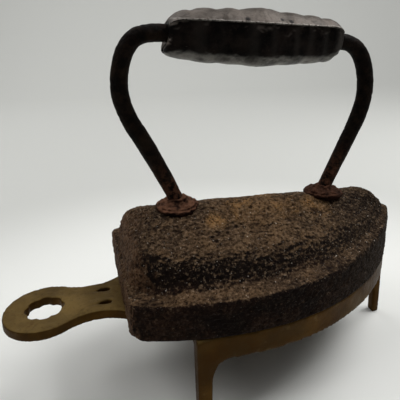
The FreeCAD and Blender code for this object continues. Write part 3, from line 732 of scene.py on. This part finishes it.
# Hollow: radius of the bore, wall of the shells and length closed at each end.
BORE = 4.6
WALL = 4.2
CLOSED_END = 5
STATIONS = 220
SAMPLES = 26
# Radius at which the rough skin starts, so that the joint faces and bore stay plain.
SKIN_FROM, SKIN_FADE = 7.5, 2


def grip_radius(x):
    """Half-height of the grip at a distance from its rear end, and its depth in a valley, 0 to 1."""
    widths = np.array([width for width, crest in SWELLS])
    edges = np.concatenate([[0], np.cumsum(widths)]) * GRIP_LONG / widths.sum()
    centres = (edges[1:] + edges[:-1]) / 2
    knots = np.concatenate([[0], centres, [GRIP_LONG]])
    crests = [REAR_END] + [crest for width, crest in SWELLS] + [FRONT_END]
    index = min(max(int(np.searchsorted(edges, x, side="right")) - 1, 0), len(SWELLS) - 1)
    share = (x - edges[index]) / (edges[index + 1] - edges[index])
    dip = 1 - math.sqrt(math.sin(math.pi * min(max(share, 0), 1)) ** 2 * 0.97 + 0.03)
    return float(through(knots, crests, np.array([x]))[0]), dip


def end_taper(x):
    """1 along the grip, falling in a tight shoulder at the rear and a long dome in front."""
    rear = 1 - min(x / REAR_ROUND, 1)
    front = 1 - min((GRIP_LONG - x) / FRONT_ROUND, 1)
    rear_loss = REAR_NARROW * (1 - math.sqrt(1 - rear**2))
    front_loss = FRONT_NARROW * (1 - math.sqrt(1 - front**2))
    return 1 - rear_loss - front_loss


def grip_section(radius, dip):
    """Right half-section from top to bottom: crowned cap, sharp ridge, flat cheek, round belly."""
    top, belly = radius - VALLEY * dip, BELLY_VALLEY * VALLEY * dip - radius
    wide = radius * GRIP_WIDE - SIDE_VALLEY * VALLEY * dip
    ridge = min(RIDGE, radius * RIDGE_LIMIT)
    quarter = np.linspace(0, math.pi / 2, SAMPLES)
    cap = [(wide * math.sin(a), ridge + (top - ridge) * math.cos(a) ** CAP_POWER) for a in quarter]
    cheek_end = belly * CHEEK_END
    wide -= OVERHANG
    cheek = [(wide + CHEEK_SWELL * math.sin(math.pi * t) - CHEEK_LEAN * t,
              ridge - JOINT_DROP + (cheek_end - ridge) * t)
             for t in np.linspace(0.0, 1, SAMPLES)[:-1]]
    wide -= CHEEK_LEAN
    round_belly = [(wide * math.cos(a) ** BELLY_POWER, cheek_end + (belly - cheek_end) * math.sin(a))
                   for a in quarter]
    return cap, cheek + round_belly


def along_grip(x, y, z):
    """Where a point of the section at x really lies along the grip, with its ends' slants."""
    low = min(max((-z - LOW_FROM) / LOW_TALL, 0), 1) if abs(z) + abs(y) > 2 * BORE else 0
    along = x - REAR_LIP * low * math.exp(-((x / LIP_FADE) ** 2))
    along += REAR_SLANT * max(z - SLANT_FROM, 0) * math.exp(-((x / SLANT_FADE) ** 2))
    along -= FRONT_TUCK * low * math.exp(-(((GRIP_LONG - x) / TUCK_FADE) ** 2))
    return along


def hollow(outer, wall):
    """The inner face under an outer one: a wall further in, but never inside the bore."""
    inner = []
    for y, z in outer:
        reach = math.hypot(y, z)
        inside = max(reach - wall, BORE)
        inner.append((y * inside / reach, z * inside / reach))
    return inner


def grip_shell(name, upper, seed):
    """One shell: outer face, inner face and the two joint faces, swept along the grip."""
    axis = (GRIP_FRONT - GRIP_REAR).normalized()
    rise = Vector((-axis.z, 0, axis.x))
    points, starts, faces = [], [], []
    for x in np.linspace(0, GRIP_LONG, STATIONS):
        radius, dip = grip_radius(x)
        cap, rest = grip_section(radius * end_taper(x), dip)
        right = cap[::-1] if upper else rest
        left = [(-y, z) for y, z in (cap[1:] if upper else rest[-2::-1])]
        outer = right + left
        closed = not CLOSED_END < x < GRIP_LONG - CLOSED_END
        loop = outer + hollow(outer, math.inf if closed else WALL)[::-1]
        starts.append(len(points))
        for y, z in loop:
            spot = GRIP_REAR + axis * along_grip(x, y, z) + rise * z + Vector((0, y, 0))
            points.append((spot + Vector((HEEL_X, 0, SOLE_Z))) * MM)
    across, around = len(outer), len(loop)
    for a, b in zip(starts, starts[1:]):
        faces += [(a + i, a + (i + 1) % around, b + (i + 1) % around, b + i) for i in range(around)]
    for first in (starts[0], starts[-1]):
        for i in range(across - 1):
            faces.append((first + i, first + i + 1, first + around - 2 - i, first + around - 1 - i))
    piece = mesh_piece(name, points, faces)
    centre = (GRIP_REAR + GRIP_FRONT) / 2 + Vector((HEEL_X, 0, SOLE_Z))

    def share(x, y, z):
        reach = math.hypot(y, z - (centre.z + (x / MM - centre.x) * axis.z / axis.x) * MM)
        return min(1.0, max(0.0, (reach / MM - SKIN_FROM) / SKIN_FADE))

    expose(piece, share)
    return run_tree(piece, IRON_SKIN, lump_size=9 * MM, lump_height=1.1 * MM, grain_size=3 * MM,
                    grain_height=0.5 * MM, pit_size=2.4 * MM, pit_depth=0.12 * MM, seed=seed,
                    finish=GRIP_IRON)


# Blowholes left in the cap, low on its near side, are painted as dark spots of shade: place from the
# heel, to the side and over the sole, and the spot's radius, in mm.
BLOWHOLE_SHADE_SPOTS = [(68.4, -12.2, 142.7, 2.3), (87.5, -10.9, 141.8, 1.6), (92.6, -11.2, 141.0, 1.9)]


def palm_worn_iron():
    """Handled iron: satin black cheeks, with pale grey-brown painted reflections on the cap and the
    belly.
    """
    material, tree, shader, place = new_material("palm_worn_iron")
    cloud = noise(tree, place, 0.010, 5, 0.6, 1.0)
    black = step(tree, cloud, 0.4, 0.65)
    base = blend_colour(tree, black, (0.0026, 0.0022, 0.002), (0.012, 0.0085, 0.007))
    up = upward(tree)
    pale = step(tree, cloud, 0.4, 0.62)
    pale = blend_colour(tree, pale, (0.092, 0.078, 0.067), (0.138, 0.117, 0.101))
    # painted reflection: faces that look up are painted pale grey-brown, standing in for the overhead
    # light's sheen on the cap
    base = blend_colour(tree, step(tree, up, 0.04, 0.3), base, pale)
    # painted reflection: faces that look down are painted pale, standing in for the bright floor
    # reflected in them
    belly = step(tree, up, -0.75, -0.3, 0.75, 0.0)
    belly = sums(tree, "MULTIPLY", belly, step(tree, cloud, 0.35, 0.6, 0.3, 1.0))
    base = blend_colour(tree, belly, base, (0.31, 0.30, 0.275))
    where = axes(tree, place)
    lengthways = node(tree, "ShaderNodeCombineXYZ", {0: where["X"]}).outputs[0]
    band = step(tree, noise(tree, lengthways, 0.009, 0, 0.5, 9.0), 0.45, 0.75, 0, 0.6)
    band = sums(tree, "MULTIPLY", band, step(tree, up, 0.5, 0.2))
    in_front = step(tree, where["X"], (HEEL_X + 68) * MM, (HEEL_X + 92) * MM, 0.25, 1.0)
    band = sums(tree, "MULTIPLY", band, in_front)
    base = blend_colour(tree, band, base, (0.060, 0.052, 0.046))
    speck = noise(tree, place, 0.0013, 4, 0.7, 4.0)
    base = blend_colour(tree, step(tree, speck, 0.54, 0.7, 0, 0.5), base, (0.022, 0.016, 0.013))
    low = step(tree, relief(tree), -0.0003, 0.0, 0.6, 0.0)
    base = blend_colour(tree, low, base, (0.012, 0.009, 0.007))
    # painted highlight: a thin pale line along the shells' joint stands in for the light caught by
    # the ridge
    slope = (GRIP_FRONT.z - GRIP_REAR.z) / (GRIP_FRONT.x - GRIP_REAR.x)
    joint = (SOLE_Z + GRIP_REAR.z + RIDGE - slope * (HEEL_X + GRIP_REAR.x)) * MM
    height = sums(tree, "SUBTRACT", where["Z"], sums(tree, "MULTIPLY", where["X"], slope))
    edge = sums(tree, "ABSOLUTE", sums(tree, "SUBTRACT", height, joint), 0.0)
    edge = step(tree, edge, 0.0002, 0.0007, 0.8, 0)
    edge = sums(tree, "MULTIPLY", edge, step(tree, speck, 0.62, 0.4))
    base = blend_colour(tree, edge, base, (0.27, 0.25, 0.225))
    # painted shade: each blowhole is a near-black spot in the colour, not an opening in the shell
    for x, y, z, reach in BLOWHOLE_SHADE_SPOTS:
        blowhole_shade = near(tree, place, from_heel(x, y, z), 0.4, reach, 0.95)
        base = blend_colour(tree, blowhole_shade, base, (0.004, 0.003, 0.003))
    finish(tree, shader, base, step(tree, cloud, 0.3, 0.7, 0.35, 0.55), specular=0.04, metallic=0.3)
    bump(tree, shader, noise(tree, place, 0.0018, 5, 0.65, 5.0), 0.0004)
    return material


GRIP_IRON = palm_worn_iron()

for shell_node, upper, seed in (("grip_lower_shell", False, 5.0), ("grip_upper_shell", True, 6.0)):
    shell = grip_shell("cast_" + shell_node, upper, seed)
    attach(shell, "iron")
    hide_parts(shell_node)

# ---------------------------------------------------------------- floor, light and camera
# A seamless pale grey floor that curves up into a wall, lit by four panels that
# hang over its sides and one that washes the wall, and a camera at hand height
# close to the near side of the heel.

# Paper: its colour near the object and far off, painted brighter near it as a pool of light, and
# where it changes, in metres.
PAPER_NEAR_PAINTED_LIT, PAPER_FAR_PAINTED_DIM = (0.76, 0.765, 0.737), (0.52, 0.525, 0.502)
FADE_FROM, FADE_TO = 0.12, 0.34
# Floor in metres: half-width, where it starts to curve, the curve's radius, angle
# and steps, and how far the wall goes on from there, outwards and up.
FLOOR_HALF, FLOOR_FAR = 2.2, 1.1
COVE_RADIUS, COVE_ANGLE, COVE_STEPS = 0.8, 1.45, 30
WALL_OUT, WALL_UP = 0.1, 0.9

# Panels: name, place, point faced, width and height, all in metres, and watts.
PANELS = [
    ("left_panel", (-0.7, 0, 0.9), (-0.7, 0, 0), (0.7, 0.7), 5.6),
    ("right_panel", (0.7, 0, 0.9), (0.7, 0, 0), (0.7, 0.7), 12.4),
    ("front_panel", (0, -0.7, 0.9), (0, -0.7, 0), (0.7, 0.7), 1.4),
    ("back_panel", (-0.3, 0.7, 0.9), (-0.3, 0.7, 0), (0.9, 0.7), 4.4),
    ("wall_wash", (1.1, 1.1, 1.0), (1.1, 1.8, 0.3), (3.6, 0.4), 15),
]
ROOM_COLOUR, ROOM_STRENGTH = (0.97, 0.98, 0.96, 1), 0.01

# Camera: place in mm (ahead of the heel, to the left, over the floor), how far it
# looks down and to the right in degrees, lens and nearest distance, and shift.
CAMERA_PLACE = (-14.31, -215.26, 186.91)
CAMERA_DOWN, CAMERA_RIGHT = 13.81, 20.73
CAMERA_LENS, CAMERA_NEAREST = 38.9, 0.01
CAMERA_SHIFT = (-0.0928, -0.149)


def make_floor():
    """A strip of pale paper that runs under the object and up the wall behind it."""
    material, tree, shader, place = new_material("pale_paper")
    away = node(tree, "ShaderNodeVectorMath", {0: place}, operation="LENGTH").outputs["Value"]
    # painted light: the paper is painted brighter near the object and darker far off, standing in for
    # the lamps' fall-off
    paper = blend_colour(tree, step(tree, away, FADE_FROM, FADE_TO), PAPER_NEAR_PAINTED_LIT, PAPER_FAR_PAINTED_DIM)
    finish(tree, shader, paper, 0.9, specular=0.2)
    mesh = bpy.data.meshes.new("floor")
    bend = [(FLOOR_FAR + COVE_RADIUS * math.sin(a), COVE_RADIUS * (1 - math.cos(a)))
            for a in np.linspace(0, COVE_ANGLE, COVE_STEPS)]
    rows = [(-FLOOR_HALF, 0.0)] + bend + [(bend[-1][0] + WALL_OUT, bend[-1][1] + WALL_UP)]
    points = [(side, y, z) for y, z in rows for side in (-FLOOR_HALF, FLOOR_HALF)]
    faces = [(2 * i, 2 * i + 1, 2 * i + 3, 2 * i + 2) for i in range(len(rows) - 1)]
    mesh.from_pydata(points, [], faces)
    mesh.polygons.foreach_set("use_smooth", [True] * len(faces))
    mesh.materials.append(material)
    placed("floor", mesh)


def soft_light(name, place, aim, size, power):
    """A rectangular panel that faces a point."""
    light = bpy.data.lights.new(name, "AREA")
    light.shape = "RECTANGLE"
    light.size, light.size_y = size
    light.energy = power
    holder = placed(name, light)
    holder.location = place
    holder.rotation_euler = (Vector(aim) - Vector(place)).to_track_quat("-Z", "Y").to_euler()


def make_room():
    """A faint even light from all round."""
    world = bpy.data.worlds.new("room")
    world.use_nodes = True
    background = world.node_tree.nodes["Background"]
    background.inputs["Color"].default_value = ROOM_COLOUR
    background.inputs["Strength"].default_value = ROOM_STRENGTH
    bpy.context.scene.world = world
    bpy.context.scene.view_settings.view_transform = "Standard"


def make_camera():
    """The camera, placed from the iron's heel."""
    data = bpy.data.cameras.new("camera")
    data.lens = CAMERA_LENS
    data.shift_x, data.shift_y = CAMERA_SHIFT
    data.clip_start = CAMERA_NEAREST
    camera = placed("camera", data)
    ahead, left, up = CAMERA_PLACE
    camera.location = ((HEEL_X + ahead) * MM, left * MM, up * MM)
    camera.rotation_euler = (math.radians(90 - CAMERA_DOWN), 0, math.radians(-CAMERA_RIGHT))
    bpy.context.scene.camera = camera


make_floor()
for panel in PANELS:
    soft_light(*panel)
make_room()
make_camera()
